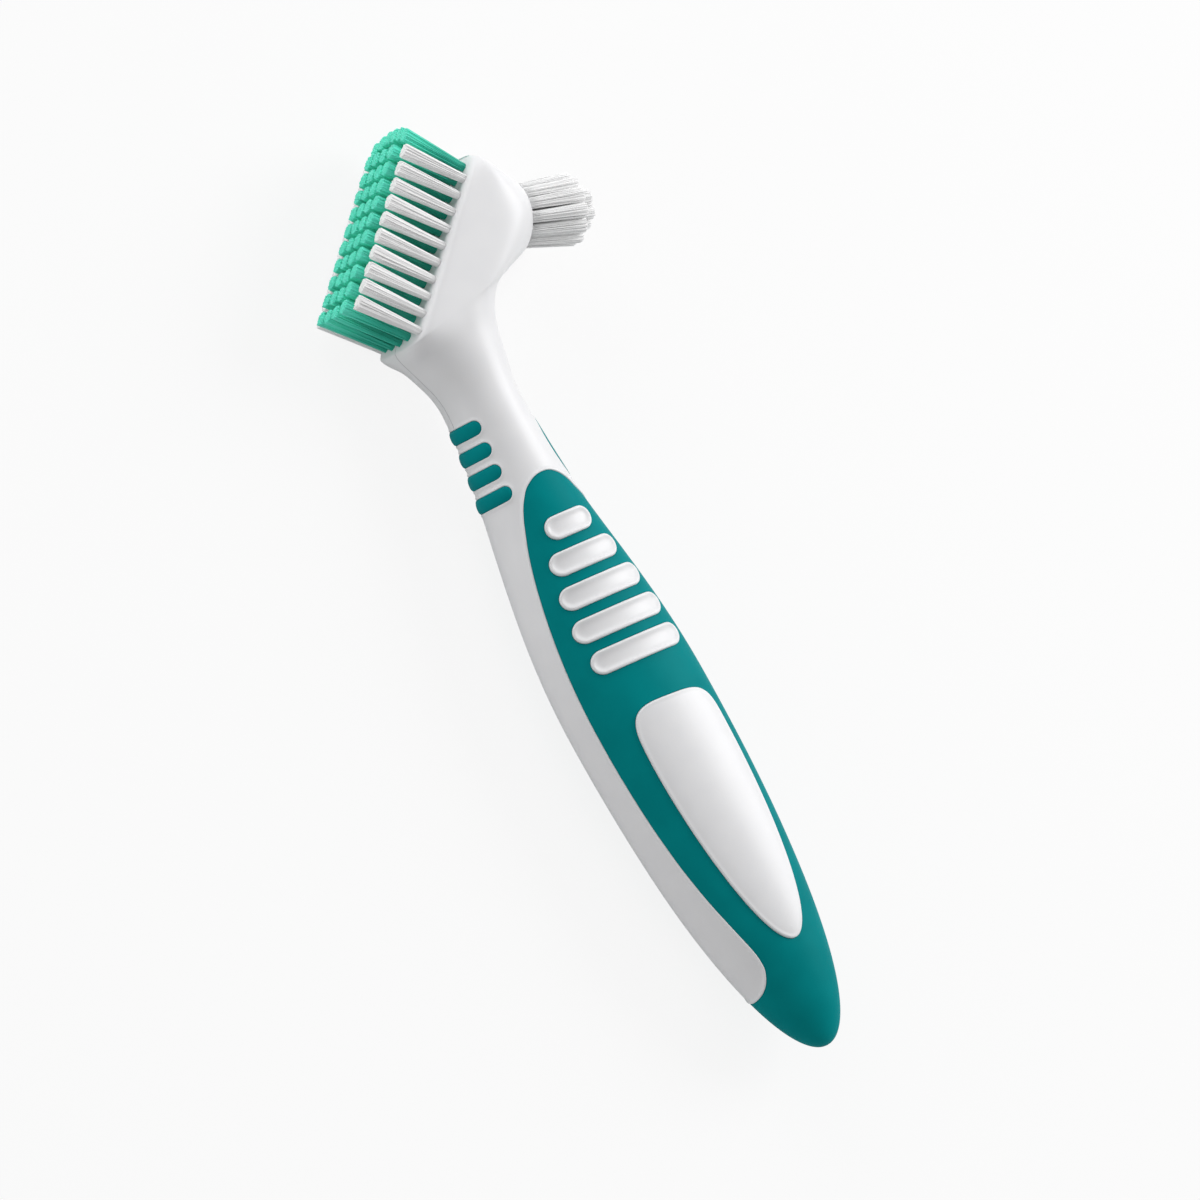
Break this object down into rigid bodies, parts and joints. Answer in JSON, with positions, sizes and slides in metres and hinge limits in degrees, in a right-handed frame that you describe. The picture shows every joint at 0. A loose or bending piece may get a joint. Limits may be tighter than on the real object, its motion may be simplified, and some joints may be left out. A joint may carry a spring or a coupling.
{
  "type": "denture brush",
  "caption": "Two-headed denture brush: a broad slanted brush and a small round brush on a white body with a soft grip on both faces.",
  "frame": {"origin": "middle of the outer box, at the height of the flat back face of the head", "axes": "+Y from the tail to the head, +X toward the small brush, -X toward the large brush, +Z out of the front face, with the brush lying on its back"},
  "size_m": [0.0574, 0.1762, 0.0187],
  "materials": {
    "white_plastic": "smooth moulded gloss",
    "teal_rubber": "satin soft-touch",
    "white_bristle": "fine straight filaments",
    "green_bristle": "fine straight filaments, slightly clear"
  },
  "bodies": {
    "root": {"handle_core": "white_plastic", "grip_overmould": "teal_rubber", "rib_1": "teal_rubber", "rib_2": "teal_rubber", "rib_3": "teal_rubber", "rib_4": "teal_rubber", "side_pad": "teal_rubber", "white_row_front": "white_bristle", "green_row_1": "green_bristle", "green_row_2": "green_bristle", "green_row_3": "green_bristle", "green_row_4": "green_bristle", "white_row_rear": "white_bristle", "green_end_top": "green_bristle", "small_tufts_inner": "white_bristle", "small_tufts_outer": "white_bristle"}
  },
  "joints": []
}
